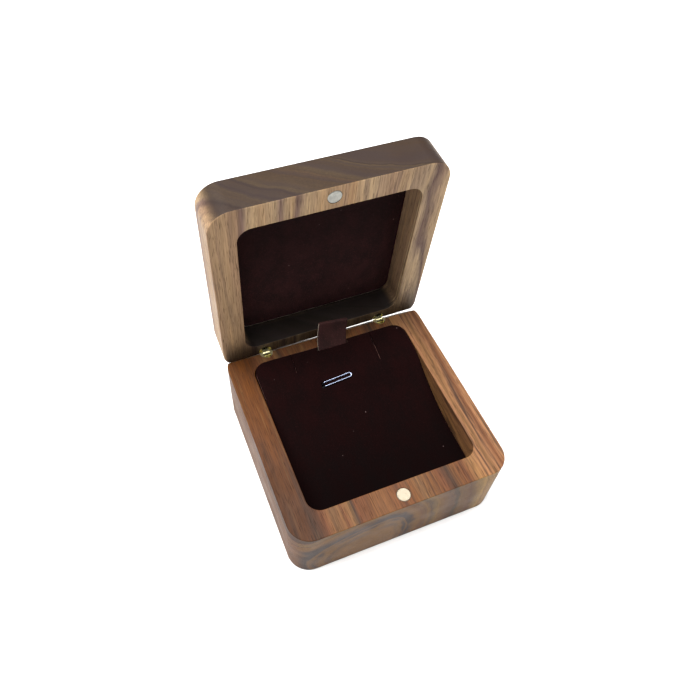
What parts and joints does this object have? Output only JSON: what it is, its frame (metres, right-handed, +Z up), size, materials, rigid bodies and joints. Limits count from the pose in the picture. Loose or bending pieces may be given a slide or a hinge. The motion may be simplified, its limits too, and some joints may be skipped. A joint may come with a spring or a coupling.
{
  "type": "ring box",
  "caption": "Square wooden jewellery box with a brass-hinged lid, magnet catch, and a dipping velvet insert with slits, pull tab and wire clip.",
  "frame": {"origin": "centre of the base's underside", "axes": "+Z up, +X to the viewer's right, +Y towards the hinges; the lid is drawn open at rest"},
  "size_m": [0.08, 0.0905, 0.1043],
  "materials": {
    "base_wood": "oiled, satin, open grain",
    "lid_wood": "oiled, satin, open grain",
    "brass": "turned and sawn",
    "pin_steel": "drawn wire",
    "magnet_plating": "nickel plating, satin",
    "velvet": "short pile, near-black burgundy",
    "card": "uncoated",
    "foam": "cut foam",
    "clip_wire": "polished wire"
  },
  "bodies": {
    "base": {"base_block": "base_wood", "base_magnet": "magnet_plating", "left_base_barrel": "brass", "right_base_barrel": "brass", "left_pivot_pin": "pin_steel", "right_pivot_pin": "pin_steel", "insert_foam": "foam", "insert_board": "card", "insert_velvet": "velvet"},
    "lid": {"lid_block": "lid_wood", "lid_magnet": "magnet_plating", "left_lid_barrel": "brass", "right_lid_barrel": "brass", "left_leaves": "brass", "right_leaves": "brass", "left_fixing_pin": "pin_steel", "right_fixing_pin": "pin_steel", "lid_lining_board": "card", "lid_lining_velvet": "velvet"},
    "tab": {"tab_core": "card", "tab_velvet": "velvet"},
    "clip": {"wire_clip": "clip_wire"}
  },
  "joints": [
    {"name": "lid_open", "type": "hinge", "parent": "base", "child": "lid", "pos_m": [0, 0.03595, 0.0277], "axis": [-1, 0, 0], "range_deg": [-86.5, 0]},
    {"name": "tab_fold", "type": "hinge", "parent": "base", "child": "tab", "pos_m": [0.0013, 0.03005, 0.02733], "axis": [-1, 0, 0], "range_deg": [-43.5, 0]},
    {"name": "clip_lift", "type": "hinge", "parent": "base", "child": "clip", "pos_m": [-0.0084, 0.01511, 0.02597], "axis": [0.0698, -0.9391, -0.3365], "range_deg": [0, 15]}
  ],
  "couplings": [
    {"joint": "tab_fold", "follows": "lid_open", "ratio": 0.5}
  ]
}
